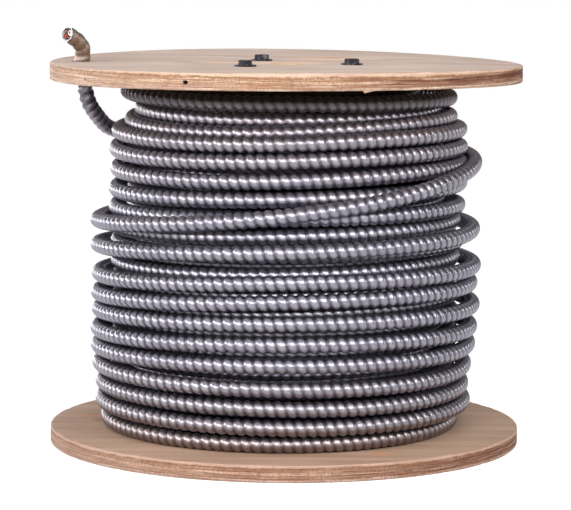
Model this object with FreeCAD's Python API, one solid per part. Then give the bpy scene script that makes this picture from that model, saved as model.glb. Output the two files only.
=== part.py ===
"""A wooden cable reel wound with metal-clad electrical cable.

Millimetres, +Z up. The origin is on the reel's axis, at the underside of the bottom flange.
-Y is the reel's front. Angles go counter-clockwise from +X, seen from above.
"""

import FreeCAD, Part
import math
import os

V = FreeCAD.Vector
UP = V(0, 0, 1)
CENTRE = V(0, 0, 0)

# reel
FLANGE_DIAMETER = 406.4
FLANGE_THICKNESS = 14.2
FLANGE_EASE = 0.8
TRAVERSE = 300.6
ARBOR_DIAMETER = 28.6
DRUM_DIAMETER = 203.2
DRUM_WALL = 5.0
DRUM_SEAT = 4.0
SEAT_PLAY = 0.2
HEIGHT = 2 * FLANGE_THICKNESS + TRAVERSE

# how far the bolts pull the top flange's middle down, and the radii between which it bends, above and below
DISH_DEPTH = 2.4
DISH_TOP_RADII = (67.0, 115.0)
DISH_UNDERSIDE_RADII = (60.0, 94.0)

# through-bolts with their washers and tee nuts
BOLT_CIRCLE = 113.4
BOLT_ANGLES = (-7.6, 112.4, 232.4)
HEAD_TURNS = (6, 14, 24)
BOLT_DIAMETER = 6.3
BOLT_TIP_HEIGHT = 2.0
HEAD_ACROSS_FLATS = 11.1
HEAD_HEIGHT = 4.0
WASHER_DIAMETER = 18.6
WASHER_BORE = 7.1
WASHER_THICKNESS = 1.3
BOLT_HOLE_DIAMETER = 7.0
NUT_FLANGE_DIAMETER = 19.0
NUT_FLANGE_THICKNESS = 1.5
NUT_RECESS = 0.5
NUT_BARREL_DIAMETER = 8.2
NUT_LENGTH = 9.5
NUT_BORE = 6.5
PRONG_COUNT = 4
PRONG_RADIUS = 7.4
PRONG_WIDTH = 2.6
PRONG_THICKNESS = 1.0
PRONG_LENGTH = 6.0

# cable
CABLE_DIAMETER = 13.8
ARMOUR_WALL = 1.0
WRAP_DIAMETER = 11.0
WRAP_WALL = 0.15
INSULATION_DIAMETER = 3.9
COPPER_DIAMETER = 2.05
CONDUCTOR_CIRCLE = 6.2
CONDUCTOR_ANGLES = {"black": 60.0, "red": 150.0, "white": 240.0, "green": 330.0}

# wound cable: outlines as radius and height, below and above the end of its outermost layer
WINDING_PLAY = 0.3
WINDING_BASE = FLANGE_THICKNESS + WINDING_PLAY
WINDING_TOP = FLANGE_THICKNESS + TRAVERSE - WINDING_PLAY
LAYER_END = 186.0
LOWER_OUTLINE = ((158.0, WINDING_BASE), (163.0, 19.5), (166.0, 60.0), (166.0, LAYER_END))
UPPER_OUTLINE = (
    (152.0, LAYER_END),
    (152.0, 272.5),
    (146.5, 275.5),
    (146.5, 308.5),
    (137.0, 308.5),
    (137.0, WINDING_TOP),
)

# the ledge on the outermost layer's end, where the loose turn leaves it
LEDGE_RADII = (152.2, 167.2)
LEDGE_HEIGHTS = (185.0, 201.2)
LEDGE_ANGLES = (138.0, 172.0)

# loose turn: the corners of its runs, as angle, radius and height
LOOSE_TURN = (
    (172.0, 159.8, 193.4),
    (186.0, 164.69, 193.4),
    (212.0, 164.6, 196.6),
    (238.0, 164.4, 202.0),
    (264.0, 164.5, 209.0),
    (290.0, 164.8, 217.6),
    (316.0, 165.4, 228.8),
    (342.0, 166.4, 239.8),
    (368.0, 167.6, 246.6),
    (394.0, 168.3, 249.0),
    (420.0, 168.6, 250.4),
    (446.0, 168.6, 251.8),
    (472.0, 168.3, 254.0),
    (498.0, 167.4, 257.6),
)

# tail: from the loose turn up through its hole in the top flange to the cut end
TAIL = (
    (-154.5, 47.0, 264.5),
    (-164.5, 21.0, 279.5),
    (-171.2, 4.0, 292.5),
    (-173.6, -5.0, 309.0),
    (-174.8, -5.6, 326.0),
    (-177.0, -9.5, 340.0),
    (-184.9, -22.0, 351.1),
)
TAIL_HOLE_DIAMETER = 19.0
TAIL_HOLE_CENTRE = (-174.7, -5.7)
ARC_SHARE = 0.45


def ring(outer_radius, inner_radius, bottom, height):
    """An upright tube on the reel's axis."""
    outer = Part.makeCylinder(outer_radius, height, V(0, 0, bottom))
    inner = Part.makeCylinder(inner_radius, height + 2, V(0, 0, bottom - 1))
    return outer.cut(inner)


def on_circle(radius, angle, height):
    """The point at that radius and angle from the reel's axis."""
    a = math.radians(angle)
    return V(radius * math.cos(a), radius * math.sin(a), height)


def bolt_centres():
    return [on_circle(BOLT_CIRCLE / 2, angle, 0) for angle in BOLT_ANGLES]


def flange_blank(bottom):
    """A plywood disc with eased edges and the arbor hole."""
    disc = Part.makeCylinder(FLANGE_DIAMETER / 2, FLANGE_THICKNESS, V(0, 0, bottom))
    disc = disc.makeChamfer(FLANGE_EASE, [e for e in disc.Edges if isinstance(e.Curve, Part.Circle)])
    return disc.cut(Part.makeCylinder(ARBOR_DIAMETER / 2, FLANGE_THICKNESS + 2, V(0, 0, bottom - 1)))


def drum_groove(bottom):
    """The circular groove that one end of the drum sits in."""
    outer = DRUM_DIAMETER / 2 + SEAT_PLAY
    inner = DRUM_DIAMETER / 2 - DRUM_WALL - SEAT_PLAY
    return ring(outer, inner, bottom, DRUM_SEAT)


def dish(radii, height):
    """The shallow round dish of DISH_DEPTH below that height, flat in the middle."""
    return Part.makeCone(*radii, DISH_DEPTH, V(0, 0, height - DISH_DEPTH))


def top_flange():
    """The top disc, pulled down in the middle by its bolts, with the tail's hole."""
    bottom = FLANGE_THICKNESS + TRAVERSE
    shape = flange_blank(bottom).cut(drum_groove(bottom))
    hollow = Part.makeCylinder(ARBOR_DIAMETER / 2, 2 * FLANGE_THICKNESS, V(0, 0, bottom - FLANGE_THICKNESS))
    shape = shape.cut(dish(DISH_TOP_RADII, HEIGHT)).fuse(dish(DISH_UNDERSIDE_RADII, bottom).cut(hollow))
    for centre in bolt_centres():
        start = centre + V(0, 0, bottom - DISH_DEPTH - 1)
        hole = Part.makeCylinder(BOLT_HOLE_DIAMETER / 2, FLANGE_THICKNESS + DISH_DEPTH + 2, start)
        shape = shape.cut(hole)
    x, y = TAIL_HOLE_CENTRE
    tail_hole = Part.makeCylinder(TAIL_HOLE_DIAMETER / 2, FLANGE_THICKNESS + 2, V(x, y, bottom - 1))
    return shape.cut(tail_hole).removeSplitter()


def bottom_flange():
    """The bottom disc, with a recess and prong pockets for each tee nut."""
    shape = flange_blank(0).cut(drum_groove(FLANGE_THICKNESS - DRUM_SEAT))
    for centre in bolt_centres():
        hole = Part.makeCylinder(BOLT_HOLE_DIAMETER / 2, FLANGE_THICKNESS + 2, centre - UP)
        recess = Part.makeCylinder(NUT_FLANGE_DIAMETER / 2 + SEAT_PLAY, NUT_RECESS + 1, centre - UP)
        shape = shape.cut(hole).cut(recess).cut(tee_nut_blank(centre))
    return shape


def drum():
    """The fibre tube that the cable is wound on."""
    bottom = FLANGE_THICKNESS - DRUM_SEAT
    radius = DRUM_DIAMETER / 2
    return ring(radius, radius - DRUM_WALL, bottom, TRAVERSE + 2 * DRUM_SEAT)


def hexagon(centre, across_flats, height, turn):
    """An upright hexagonal prism with its top corners turned down, turned from the X axis."""
    radius = across_flats / 2 / math.cos(math.pi / 6)
    corners = [centre + on_circle(radius, turn + 60 * i, 0) for i in range(6)]
    prism = Part.Face(Part.makePolygon(corners + corners[:1])).extrude(UP * height)
    slope = math.tan(math.radians(30))
    top_radius = across_flats / 2
    cone = Part.makeCone(top_radius + height / slope, top_radius, height, centre)
    return prism.common(cone)


def through_bolt(centre, turn):
    """A hex bolt from its washer on the top flange down into its tee nut."""
    seat = HEIGHT - DISH_DEPTH + WASHER_THICKNESS
    tip = BOLT_DIAMETER / 2 - 0.8
    shank = Part.makeCylinder(BOLT_DIAMETER / 2, seat - BOLT_TIP_HEIGHT - 1, centre + V(0, 0, BOLT_TIP_HEIGHT + 1))
    point = Part.makeCone(tip, BOLT_DIAMETER / 2, 1, centre + V(0, 0, BOLT_TIP_HEIGHT))
    head = hexagon(centre + V(0, 0, seat), HEAD_ACROSS_FLATS, HEAD_HEIGHT, turn)
    return head.fuse([shank, point]).removeSplitter()


def bolt_washer(centre):
    base = centre + UP * (HEIGHT - DISH_DEPTH)
    disc = Part.makeCylinder(WASHER_DIAMETER / 2, WASHER_THICKNESS, base)
    return disc.cut(Part.makeCylinder(WASHER_BORE / 2, WASHER_THICKNESS + 2, base - UP))


def tee_nut_blank(centre):
    """A tee nut with no bore: a flange, a barrel and prongs that stand in the wood."""
    base = centre + UP * NUT_RECESS
    flange = Part.makeCylinder(NUT_FLANGE_DIAMETER / 2, NUT_FLANGE_THICKNESS, base)
    barrel = Part.makeCylinder(NUT_BARREL_DIAMETER / 2, NUT_LENGTH, base)
    prongs = []
    for i in range(PRONG_COUNT):
        start = V(PRONG_RADIUS, -PRONG_WIDTH / 2, 0)
        prong = Part.makeBox(PRONG_THICKNESS, PRONG_WIDTH, PRONG_LENGTH, start)
        prong.rotate(CENTRE, UP, 45 + 360 * i / PRONG_COUNT)
        prong.translate(base)
        prongs.append(prong)
    return flange.fuse([barrel] + prongs)


def tee_nut(centre):
    bore = Part.makeCylinder(NUT_BORE / 2, NUT_LENGTH + 2, centre)
    return tee_nut_blank(centre).cut(bore).removeSplitter()


def revolved(outline, sweep=360):
    """The solid that a closed outline of radii and heights sweeps about the reel's axis."""
    corners = [V(radius, 0, height) for radius, height in outline]
    return Part.Face(Part.makePolygon(corners + corners[:1])).revolve(CENTRE, UP, sweep)


def wound_turns(outline):
    """The turns within that outline, as one solid round the drum."""
    inner = DRUM_DIAMETER / 2 + WINDING_PLAY
    return revolved([(inner, outline[0][1]), *outline, (inner, outline[-1][1])])


def winding_lower():
    """The turns up to the end of the outermost layer, and the ledge there."""
    (near, far), (low, high) = LEDGE_RADII, LEDGE_HEIGHTS
    first, last = LEDGE_ANGLES
    ledge = revolved([(near, low), (far, low), (far, high), (near, high)], last - first)
    ledge.rotate(CENTRE, UP, first)
    return wound_turns(LOWER_OUTLINE).fuse(ledge).removeSplitter()


def loose_route():
    """The points of the loose turn and the tail."""
    turn = [on_circle(radius, angle, height) for angle, radius, height in LOOSE_TURN]
    return turn + [V(*point) for point in TAIL]


def rounded(points):
    """Straight runs along the points, joined by tangent arcs, as a list of edges."""
    edges = []
    start = points[0]
    for before, corner, after in zip(points, points[1:], points[2:]):
        towards = (before - corner).normalize()
        onwards = (after - corner).normalize()
        half_turn = (math.pi - towards.getAngle(onwards)) / 2
        shorter = min((before - corner).Length, (after - corner).Length)
        radius = ARC_SHARE * shorter / math.tan(half_turn)
        print(f"arc radius {radius:.0f} mm at {corner.x:.0f}, {corner.y:.0f}, {corner.z:.0f}")
        enter = corner + towards * (ARC_SHARE * shorter)
        leave = corner + onwards * (ARC_SHARE * shorter)
        bisector = (towards + onwards).normalize()
        middle = corner + bisector * (radius / math.cos(half_turn) - radius)
        edges.append(Part.makeLine(start, enter))
        edges.append(Part.Arc(enter, middle, leave).toShape())
        start = leave
    edges.append(Part.makeLine(start, points[-1]))
    return edges


def along(edges, outer_diameter, inner_diameter=0.0, offset=0.0, angle=0.0):
    """A bar or tube that follows the edges, its centre moved sideways by offset, in the direction of angle."""
    first = edges[0]
    start = first.valueAt(first.FirstParameter)
    heading = first.tangentAt(first.FirstParameter)
    level = heading.cross(UP).normalize()
    upward = level.cross(heading)
    a = math.radians(angle)
    centre = start + level * (offset * math.cos(a)) + upward * (offset * math.sin(a))
    rims = [Part.Wire(Part.makeCircle(outer_diameter / 2, centre, heading))]
    if inner_diameter:
        rims.append(Part.Wire(Part.makeCircle(inner_diameter / 2, centre, heading)))
    faces = [Part.Face(rims, "Part::FaceMakerBullseye")]
    for edge in edges:
        low = edge.valueAt(edge.FirstParameter)
        high = edge.valueAt(edge.LastParameter)
        moved = []
        for rim in rims:
            if isinstance(edge.Curve, Part.Circle):
                sweep = math.degrees(edge.LastParameter - edge.FirstParameter)
                faces += rim.revolve(edge.Curve.Center, edge.Curve.Axis, sweep).Faces
                turned = rim.copy()
                turned.rotate(edge.Curve.Center, edge.Curve.Axis, sweep)
                moved.append(turned)
            else:
                faces += rim.extrude(high - low).Faces
                moved.append(rim.translated(high - low))
        rims = moved
    faces.append(Part.Face(rims, "Part::FaceMakerBullseye"))
    shell = Part.makeShell(faces)
    shell.sewShape(1e-5)
    solid = Part.makeSolid(shell)
    if solid.Volume < 0:
        solid.reverse()
    return solid


def section(outer_diameter, inner_diameter=0.0):
    return math.pi * (outer_diameter**2 - inner_diameter**2) / 4


def loose_cable():
    """The armour, the wrap inside it and the conductors, along the loose turn and the tail."""
    edges = rounded(loose_route())
    length = sum(edge.Length for edge in edges)
    parts = {}
    inner = CABLE_DIAMETER - 2 * ARMOUR_WALL
    parts["cable_tail"] = along(edges, CABLE_DIAMETER, inner)
    share = parts["cable_tail"].Volume / (section(CABLE_DIAMETER, inner) * length)
    print(f"tail length {length:.1f} mm, volume over section times length {share:.4f}")
    parts["tail_wrap"] = along(edges, WRAP_DIAMETER, WRAP_DIAMETER - 2 * WRAP_WALL)
    for colour, angle in CONDUCTOR_ANGLES.items():
        place = (CONDUCTOR_CIRCLE / 2, angle)
        parts[f"insulation_{colour}"] = along(edges, INSULATION_DIAMETER, COPPER_DIAMETER, *place)
        parts[f"copper_{colour}"] = along(edges, COPPER_DIAMETER, 0.0, *place)
    return parts


def build():
    parts = {
        "top_flange": top_flange(),
        "bottom_flange": bottom_flange(),
        "drum": drum(),
        "winding_lower": winding_lower(),
        "winding_upper": wound_turns(UPPER_OUTLINE),
    }
    for number, centre in enumerate(bolt_centres(), 1):
        parts[f"through_bolt_{number}"] = through_bolt(centre, HEAD_TURNS[number - 1])
        parts[f"bolt_washer_{number}"] = bolt_washer(centre)
        parts[f"tee_nut_{number}"] = tee_nut(centre)
    parts.update(loose_cable())
    return parts


os.makedirs("parts", exist_ok=True)
for name, shape in build().items():
    assert shape.isValid(), name
    print(f"{name}: {len(shape.Solids)} solid, {shape.Volume / 1000:.2f} cm3")
    shape.exportStep(f"parts/{name}.step")
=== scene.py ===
"""Looks of a wooden cable reel wound with metal-clad cable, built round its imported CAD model."""

import math
import random

import bpy
import numpy as np
from mathutils import Matrix, Vector


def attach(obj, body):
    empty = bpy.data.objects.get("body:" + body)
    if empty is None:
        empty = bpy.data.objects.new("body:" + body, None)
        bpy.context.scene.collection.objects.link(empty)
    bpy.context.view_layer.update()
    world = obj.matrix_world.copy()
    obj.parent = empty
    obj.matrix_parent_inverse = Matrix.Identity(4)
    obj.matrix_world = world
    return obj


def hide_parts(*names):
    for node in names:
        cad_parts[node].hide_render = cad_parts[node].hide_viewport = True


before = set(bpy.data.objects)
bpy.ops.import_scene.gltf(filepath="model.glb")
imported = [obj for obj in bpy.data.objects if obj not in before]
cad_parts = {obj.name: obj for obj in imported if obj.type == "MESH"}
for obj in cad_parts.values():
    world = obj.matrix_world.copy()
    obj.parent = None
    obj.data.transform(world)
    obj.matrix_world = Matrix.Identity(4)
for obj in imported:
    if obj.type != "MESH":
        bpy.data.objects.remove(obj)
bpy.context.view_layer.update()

MM = 0.001
TURN = 2 * math.pi

# reel, in millimetres
FLANGE_RADIUS = 203.2
FLANGE_THICKNESS = 14.2
HEIGHT = 329.0
TOP_BASE = HEIGHT - FLANGE_THICKNESS
ARBOR_RADIUS = 14.3
GROOVE_RADII = (96.4, 101.8)
GROOVE_DEPTH = 4.0
PLIES = 5
BOLT_CIRCLE_RADIUS = 56.7
BOLT_ANGLES = (-7.6, 112.4, 232.4)
BOLT_HOLE_RADIUS = 3.5
TAIL_HOLE_CENTRE = (-174.7, -5.7)
TAIL_HOLE_RADIUS = 9.5
DISH_DEPTH = 2.4
DISH_TOP_RADII = (67.0, 115.0)
DISH_UNDERSIDE_RADII = (60.0, 94.0)
# radius and depth of the tee nuts' recesses and of the holes for their barrels
NUT_RECESS = (9.7, 2.0)
NUT_BARREL = (4.1, 10.0)

# cable, in millimetres
RIB_PITCH = 8.4
# one rib's section: places along the pitch, the armour's radius there and how deep in a groove that is
RIB_PLACES = (0.0, 0.12, 0.22, 0.33, 0.48, 0.64, 0.76, 0.87)
RIB_RADII = (5.66, 5.78, 6.24, 6.72, 6.9, 6.78, 6.3, 5.82)
RIB_GROOVES = (1.0, 0.7, 0.2, 0.0, 0.0, 0.0, 0.2, 0.7)
BORE_RADIUS = 5.55
BORE_DEPTH = 40.0
BORE_GROOVE = 0.3
LOWEST_CENTRE = 21.15
POINTS_PER_TURN = 12
# a spline through 12 control points a turn has this share of their radius
SPLINE_REACH = 0.9663
SPLINE_STEPS = 12
SHORTEST_STEP = 0.05
# near the cut the ribs are pressed flatter: to what radius, by what share, from how far back and over what length
PRESSED_RADIUS = 6.75
PRESSED_SHARE = 0.6
PRESSED_FROM = 50.0
PRESSED_FADE = 15.0
# the cut end is modelled finer than the rest, and its slant stays within a reach and fades inside the cable
FINE_LENGTH = 95.0
FINE_AROUND = 48
SHOWN_AROUND = 16
HIDDEN_AROUND = 12
INNER_AROUND = 8
SLANT_REACH = 12.0
SLANT_FADE = 14.0
# the conductors and the film
TAIL_LENGTH = 1120.6
CONDUCTOR_FINE_LENGTH = 60.0
CONDUCTOR_STEP = 12.0
WRAP_RADIUS = 5.5
WRAP_WALL = 0.15
WRAP_SET_BACK = 0.8
JACKET_SET_BACK = 0.4
WRAP_AROUND = 24
JACKET_AROUND = 20
WIRE_AROUND = 16
TWIST_PITCH = 95.0
CONDUCTOR_CIRCLE_RADIUS = 2.95
# each one's place round the cable's middle at the cut, its dark and light tone, roughness and how far it stands out
CONDUCTORS = {
    "black": (100.0, (10, 10, 12), (28, 27, 30), 0.35, 0.6),
    "red": (185.0, (116, 18, 24), (156, 36, 40), 0.4, -0.4),
    "white": (5.0, (214, 210, 204), (238, 236, 232), 0.4, 0.3),
    "green": (275.0, (12, 44, 24), (24, 72, 40), 0.35, -1.2),
}
INSULATION_RADIUS = 2.05
COPPER_RADIUS = 1.03
COPPER_PLAY = 0.02

# camera, in metres and degrees
LENS = 184.16
SENSOR_WIDTH = 36.0
CAMERA_PLACE = (0.0004, -2.516, 0.4605)
CAMERA_DIP = 6.79
CAMERA_ROLL = 0.39
AIM_HEIGHT = 0.16
FLOOR_REACH = 30.0

# softboxes: azimuth, elevation, distance, width, height and power
SOFTBOXES = {
    "key": (-8, 20, 2.0, 2.0, 0.42, 42),
    "key_left": (-75, 16, 2.0, 1.8, 0.34, 27),
    "key_back": (-138, 8, 2.3, 2.0, 0.24, 18),
    "key_right": (42, 26, 2.1, 0.5, 1.1, 22),
    "fill_right": (95, 14, 2.2, 0.9, 0.60, 8),
    "top": (0, 84, 1.6, 2.4, 2.4, 17),
}
# how bright the surroundings are: axis, from, to, brightness at from and at to
SURROUNDINGS = (("Z", 0.04, 0.42, 0.62, 0.26), ("X", -0.5, 0.9, 1.0, 0.6))


# ---------------------------------------------------------------- camera, floor and light


def place_in_scene(name, data):
    thing = bpy.data.objects.new(name, data)
    bpy.context.scene.collection.objects.link(thing)
    return thing


def make_camera():
    data = bpy.data.cameras.new("camera")
    data.lens = LENS
    data.sensor_width = SENSOR_WIDTH
    data.clip_start = 0.05
    data.clip_end = 100.0
    camera = place_in_scene("camera", data)
    tilt = Matrix.Rotation(math.radians(90 - CAMERA_DIP), 4, "X")
    roll = Matrix.Rotation(math.radians(CAMERA_ROLL), 4, "Z")
    camera.matrix_world = Matrix.Translation(CAMERA_PLACE) @ tilt @ roll
    bpy.context.scene.camera = camera


def make_softbox(name, azimuth, elevation, distance, width, height, power):
    """A softbox aimed at the reel's middle. Azimuth 0 is in front, and grows to the right."""
    data = bpy.data.lights.new(name, "AREA")
    data.shape = "RECTANGLE"
    data.size = width
    data.size_y = height
    data.energy = power
    light = place_in_scene(name, data)
    a, e = math.radians(azimuth), math.radians(elevation)
    back = Vector((math.sin(a) * math.cos(e), -math.cos(a) * math.cos(e), math.sin(e)))
    light.location = Vector((0, 0, AIM_HEIGHT)) + back * distance
    light.rotation_mode = "QUATERNION"
    light.rotation_quaternion = back.to_track_quat("Z", "Y")
    light.visible_camera = False


def make_world():
    """Light from all round: brighter near the horizon and on the left."""
    world = bpy.data.worlds.new("studio")
    world.use_nodes = True
    tree = world.node_tree
    background = tree.nodes["Background"]
    background.inputs["Color"].default_value = (1.0, 1.0, 1.0, 1)
    direction = tree.nodes.new("ShaderNodeTexCoord").outputs["Generated"]
    split = tree.nodes.new("ShaderNodeSeparateXYZ")
    tree.links.new(direction, split.inputs[0])
    product = tree.nodes.new("ShaderNodeMath")
    product.operation = "MULTIPLY"
    for factor, (axis, *limits) in zip(product.inputs, SURROUNDINGS):
        span = tree.nodes.new("ShaderNodeMapRange")
        tree.links.new(split.outputs[axis], span.inputs[0])
        for socket, value in zip(list(span.inputs)[1:5], limits):
            socket.default_value = value
        tree.links.new(span.outputs[0], factor)
    tree.links.new(product.outputs[0], background.inputs["Strength"])
    bpy.context.scene.world = world


# ---------------------------------------------------------------- material helpers


def linear(red, green, blue):
    """A colour given as 0 to 255 on screen, as the renderer's linear colour."""
    channels = []
    for value in (red, green, blue):
        share = value / 255
        channels.append(share / 12.92 if share <= 0.04045 else ((share + 0.055) / 1.055) ** 2.4)
    return (*channels, 1.0)


class Nodes:
    """A material's node tree, with short calls for the nodes used here."""

    def __init__(self, name, **settings):
        self.material = bpy.data.materials.new(name)
        self.material.use_nodes = True
        self.tree = self.material.node_tree
        self.shader = self.tree.nodes["Principled BSDF"]
        for key, value in settings.items():
            self.shader.inputs[key.replace("_", " ")].default_value = value

    def feed(self, socket, value):
        if isinstance(value, bpy.types.NodeSocket):
            self.tree.links.new(value, socket)
        else:
            socket.default_value = value

    def node(self, kind, *inputs, **settings):
        """A new node, with its first inputs fed in their order."""
        node = self.tree.nodes.new("ShaderNode" + kind)
        for key, value in settings.items():
            setattr(node, key, value)
        for socket, value in zip(node.inputs, inputs):
            self.feed(socket, value)
        return node

    def place(self):
        return self.node("TexCoord").outputs["Object"]

    def attribute(self, name):
        return self.node("Attribute", attribute_name=name).outputs["Fac"]

    def texture(self, kind, output, vector, **inputs):
        node = self.node(kind, vector)
        for name, value in inputs.items():
            node.inputs[name].default_value = value
        return node.outputs[output]

    def noise(self, vector, scale, detail, roughness=0.55):
        return self.texture("TexNoise", "Fac", vector, Scale=scale, Detail=detail, Roughness=roughness)

    def grain(self, vector, scale, detail, roughness=0.55, offset=(0, 0, 0)):
        """Noise drawn out by a different scale along each axis."""
        drawn = self.texture("Mapping", "Vector", vector, Scale=scale, Location=offset)
        return self.noise(drawn, 1.0, detail, roughness)

    def cells(self, vector, scale):
        return self.texture("TexVoronoi", "Distance", vector, Scale=scale)

    def math(self, operation, a, b=0.0):
        return self.node("Math", a, b, operation=operation).outputs[0]

    def plus(self, a, b):
        return self.math("ADD", a, b)

    def minus(self, a, b):
        return self.math("SUBTRACT", a, b)

    def times(self, a, b):
        return self.math("MULTIPLY", a, b)

    def distance(self, x, y):
        return self.math("SQRT", self.plus(self.times(x, x), self.times(y, y)))

    def around(self, x, y):
        """The angle round the reel, in radians: 0 at the front, more towards the right."""
        return self.math("ARCTAN2", x, self.times(y, -1.0))

    def span(self, value, low, high, to_low=0.0, to_high=1.0):
        """The value's share of the way from low to high, clamped, as a number from to_low to to_high."""
        return self.node("MapRange", value, low, high, to_low, to_high, clamp=True).outputs["Result"]

    def tones(self, value, *stops, interpolation="LINEAR"):
        """A colour for the value, between stops that each give a value and a colour from 0 to 255."""
        node = self.node("ValToRGB", value)
        node.color_ramp.interpolation = interpolation
        points = node.color_ramp.elements
        while len(points) < len(stops):
            points.new(0.5)
        for point, (position, *colour) in zip(points, stops):
            point.position = position
            point.color = linear(*colour)
        return node.outputs["Color"]

    def mix(self, share, a, b, blend="MIX"):
        node = self.node("Mix", data_type="RGBA", blend_type=blend)
        for name, value in (("Factor", share), ("A", a), ("B", b)):
            self.feed(node.inputs[name], value)
        return node.outputs["Result"]

    def paint(self, share, *shade):
        """Lays a shade, from 0 to 255, over the colour so far."""
        self.colour = self.mix(share, self.colour, linear(*shade))

    def split(self, vector):
        return list(self.node("SeparateXYZ", vector).outputs)

    def joined(self, x, y, z):
        return self.node("CombineXYZ", x, y, z).outputs["Vector"]

    def base_colour(self, value):
        self.feed(self.shader.inputs["Base Color"], value)

    def roughness(self, value):
        self.feed(self.shader.inputs["Roughness"], value)

    def bump(self, height, distance, strength=1.0):
        node = self.node("Bump")
        for name, value in (("Distance", distance), ("Strength", strength), ("Height", height)):
            self.feed(node.inputs[name], value)
        self.feed(self.shader.inputs["Normal"], node.outputs["Normal"])

    def spot(self, x, y, centre, size, softness, wobble):
        """1 inside an uneven ellipse round centre, in metres, and 0 outside it."""
        dx = self.math("DIVIDE", self.minus(x, centre[0]), size[0])
        dy = self.math("DIVIDE", self.minus(y, centre[1]), size[1])
        away = self.plus(self.distance(dx, dy), wobble)
        return self.span(away, 1.0 - softness, 1.0 + softness, 1.0, 0.0)


# ---------------------------------------------------------------- materials


def armour_material():
    m = Nodes("galvanised_armour", Metallic=0.95)
    place = m.place()
    groove = m.attribute("groove")
    patches = m.noise(place, 38, 3)
    fine = m.noise(place, 420, 4, 0.6)
    spangle = m.cells(place, 260)
    tone = m.plus(m.times(patches, 0.6), m.times(fine, 0.4))
    m.colour = m.tones(tone, (0.30, 124, 122, 132), (0.52, 145, 142, 153), (0.72, 163, 160, 170))
    m.paint(m.span(spangle, 0.1, 0.6, 0.0, 0.18), 118, 118, 129)
    # the grooves are darkened by dirt and by painted shade in the hollows between the ribs
    groove_dirt_and_shade = m.times(m.span(groove, 0.10, 0.9, 0.0, 0.76), m.span(patches, 0.3, 0.6, 0.7, 1.0))
    m.paint(groove_dirt_and_shade, 38, 34, 36)
    x, y, z = m.split(place)
    out = m.distance(x, y)
    # painted reflection: the upper rows take a brown tint from the top flange's wood
    m.paint(m.span(z, 0.225, 0.285, 0.0, 0.20), 128, 104, 90)
    # the rows right under the top flange are in its shade
    shelter = m.times(m.span(z, 0.291, 0.303), m.span(out, 0.152, 0.160, 1.0, 0.0))
    m.paint(m.times(shelter, 0.93), 34, 24, 20)
    # painted reflection: the lowest rows take a brown tint from the bottom flange's wood
    m.paint(m.span(z, 0.040, 0.016, 0.0, 0.30), 128, 96, 78)
    m.paint(m.span(z, 0.095, 0.035, 0.0, 0.16), 138, 116, 92)
    # painted shade: the cable where it runs out to the tail, under the top flange, is darkened
    loose = m.times(m.span(out, 0.170, 0.174), m.span(z, 0.262, 0.276, 0.0, 0.45))
    m.paint(m.times(loose, m.span(z, 0.318, 0.324, 1.0, 0.0)), 70, 66, 72)
    # painted reflection: the tail above the top flange takes a brown tint from the wood round it
    m.paint(m.span(z, 0.322, 0.332, 0.0, 0.62), 142, 116, 88)
    m.base_colour(m.colour)
    rough = m.plus(m.span(fine, 0.3, 0.7, 0.29, 0.38), m.times(groove_dirt_and_shade, 0.1))
    rough = m.plus(rough, m.span(z, 0.322, 0.330, 0.0, 0.12))
    m.roughness(rough)
    m.bump(m.plus(m.times(fine, 0.7), m.times(patches, 1.5)), 0.00007)
    return m.material


def cut_metal_material():
    m = Nodes("cut_armour_edge", Metallic=0.9)
    place = m.place()
    scratches = m.grain(place, (900, 900, 5000), 3)
    m.base_colour(m.tones(scratches, (0.3, 112, 112, 120), (0.7, 160, 160, 168)))
    m.roughness(m.span(scratches, 0.3, 0.7, 0.25, 0.4))
    m.bump(scratches, 0.00005)
    return m.material


def plywood_face_material(name, tones, seed, marks):
    """Veneer with its grain along X. Marks, which can also be painted shadow: centre and half-size in metres,
    softness, strength and colour.
    """
    m = Nodes(name, Specular_IOR_Level=0.35)
    place = m.place()
    x, y, _ = m.split(place)
    warp = m.times(m.minus(m.grain(place, (2.2, 5, 1), 2, offset=seed), 0.5), 0.1)
    across = m.plus(y, warp)
    figure = m.noise(m.joined(m.times(x, 1.3), m.times(across, 17), seed[0]), 1.0, 3, 0.5)
    rings = m.math("SINE", m.times(figure, 46))
    fibres = m.grain(place, (9, 420, 9), 5, 0.65, offset=seed)
    coarse = m.grain(place, (4, 75, 4), 4, 0.6, offset=seed)
    clouds = m.noise(place, 9, 3)
    pores = m.grain(place, (130, 1500, 130), 2, offset=seed)
    tone = m.plus(m.times(fibres, 0.42), m.times(coarse, 0.34))
    tone = m.plus(tone, m.times(clouds, 0.24))
    tone = m.plus(tone, m.times(m.span(rings, -1, 1, -1, 1), 0.025))
    dark, middle, pale, palest, streaked, pored = tones
    m.colour = m.tones(tone, (0.30, *dark), (0.47, *middle), (0.57, *pale), (0.72, *palest))
    streak = m.span(m.grain(place, (6, 160, 6), 3, offset=(seed[1], 3, 1)), 0.62, 0.74, 0.0, 0.35)
    m.paint(streak, *streaked)
    m.paint(m.span(pores, 0.66, 0.74, 0.0, 0.3), *pored)
    wobble = m.times(m.minus(m.noise(place, 330, 3), 0.5), 1.6)
    for centre, size, softness, strength, shade in marks:
        mask = m.times(m.spot(x, y, centre, size, softness, wobble), m.span(coarse, 0.40, 0.58, 0.45, 1.0))
        m.paint(m.times(mask, strength), *shade)
    m.base_colour(m.colour)
    m.roughness(m.span(fibres, 0.3, 0.7, 0.5, 0.72))
    height = m.plus(m.times(fibres, 0.6), m.times(coarse, 0.5))
    m.bump(height, 0.00035, 0.8)
    return m.material


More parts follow.
